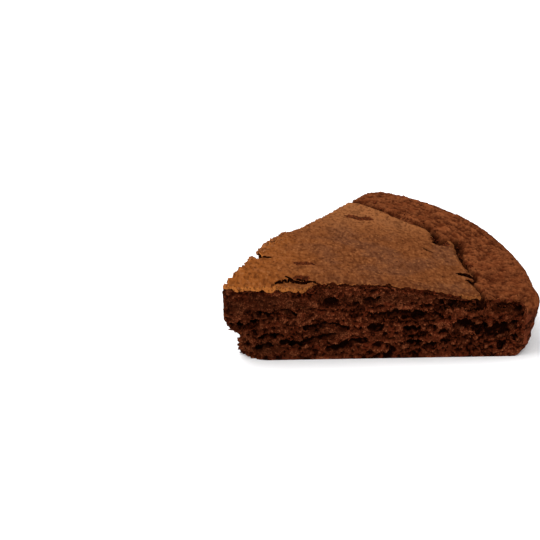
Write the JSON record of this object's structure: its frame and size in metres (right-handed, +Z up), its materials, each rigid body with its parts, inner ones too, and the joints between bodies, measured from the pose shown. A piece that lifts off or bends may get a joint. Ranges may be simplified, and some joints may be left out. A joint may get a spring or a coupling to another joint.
{
  "type": "slice of chocolate cake",
  "caption": "Wedge of a plain baked chocolate cake with a low domed crust, a rough outer ring, open crumb on its cut faces and a crumbled tip.",
  "frame": {"origin": "centre of the bounding box's base, on the surface that the slice stands on", "axes": "+Z up; the front cut faces -Y and runs along +X from the slice's tip, and the baked outer side is towards +X"},
  "size_m": [0.108, 0.1246, 0.0281],
  "materials": {
    "chocolate_cake": null
  },
  "bodies": {
    "root": {"cake_slice": "chocolate_cake"}
  },
  "joints": []
}
